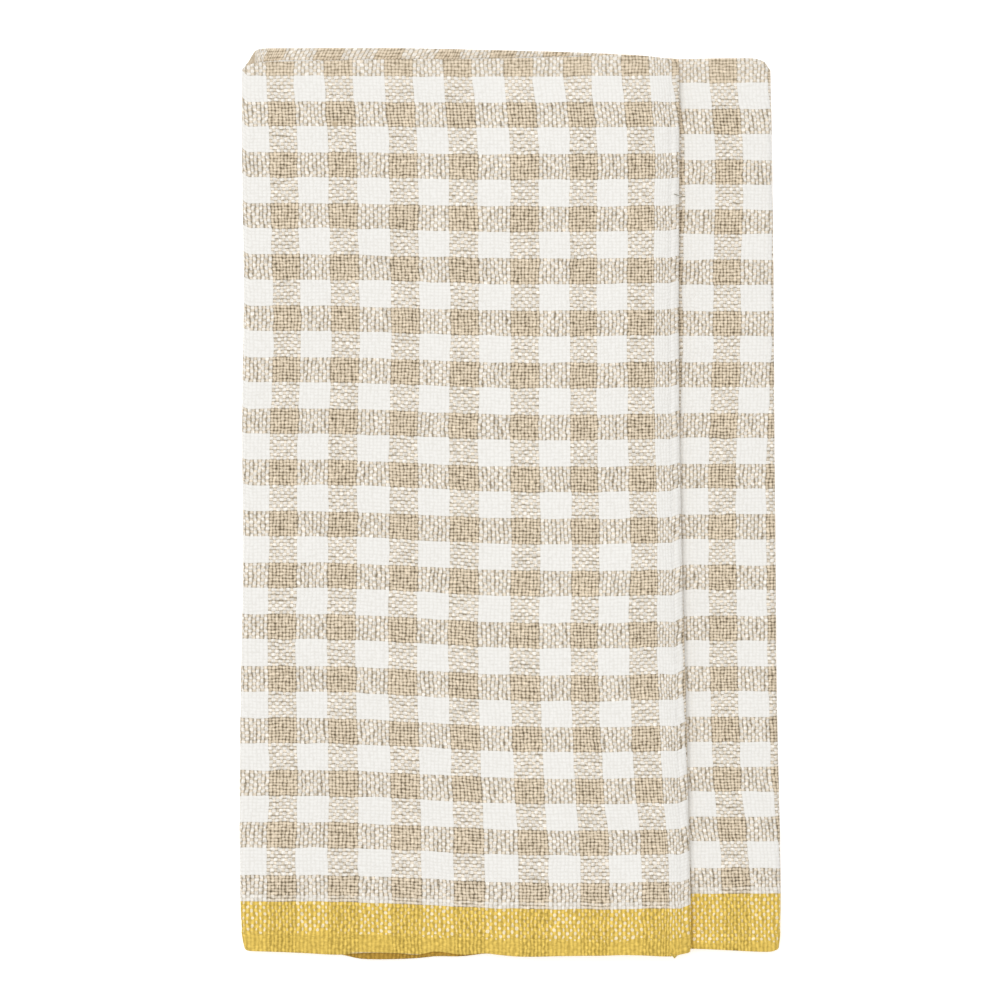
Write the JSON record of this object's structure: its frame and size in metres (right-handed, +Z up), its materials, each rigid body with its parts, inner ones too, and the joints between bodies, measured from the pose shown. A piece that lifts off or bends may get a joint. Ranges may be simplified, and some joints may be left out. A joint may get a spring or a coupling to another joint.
{
  "type": "folded tea towel",
  "caption": "Folded linen tea towel: doubled end to end, then folded lengthwise with a strip showing beside the front panel; natural and white gingham with a mustard end border.",
  "frame": {"origin": "centre of the underside of the towel's box, on the surface it lies on", "axes": "+X across the towel towards the strip that shows beside the front panel, +Y along it from the hemmed ends towards the top fold, +Z up"},
  "size_m": [0.21, 0.3544, 0.0154],
  "materials": {
    "linen": "matt plain-weave linen, slubby, natural and white yarns"
  },
  "bodies": {
    "root": {"towel": "linen"}
  },
  "joints": []
}
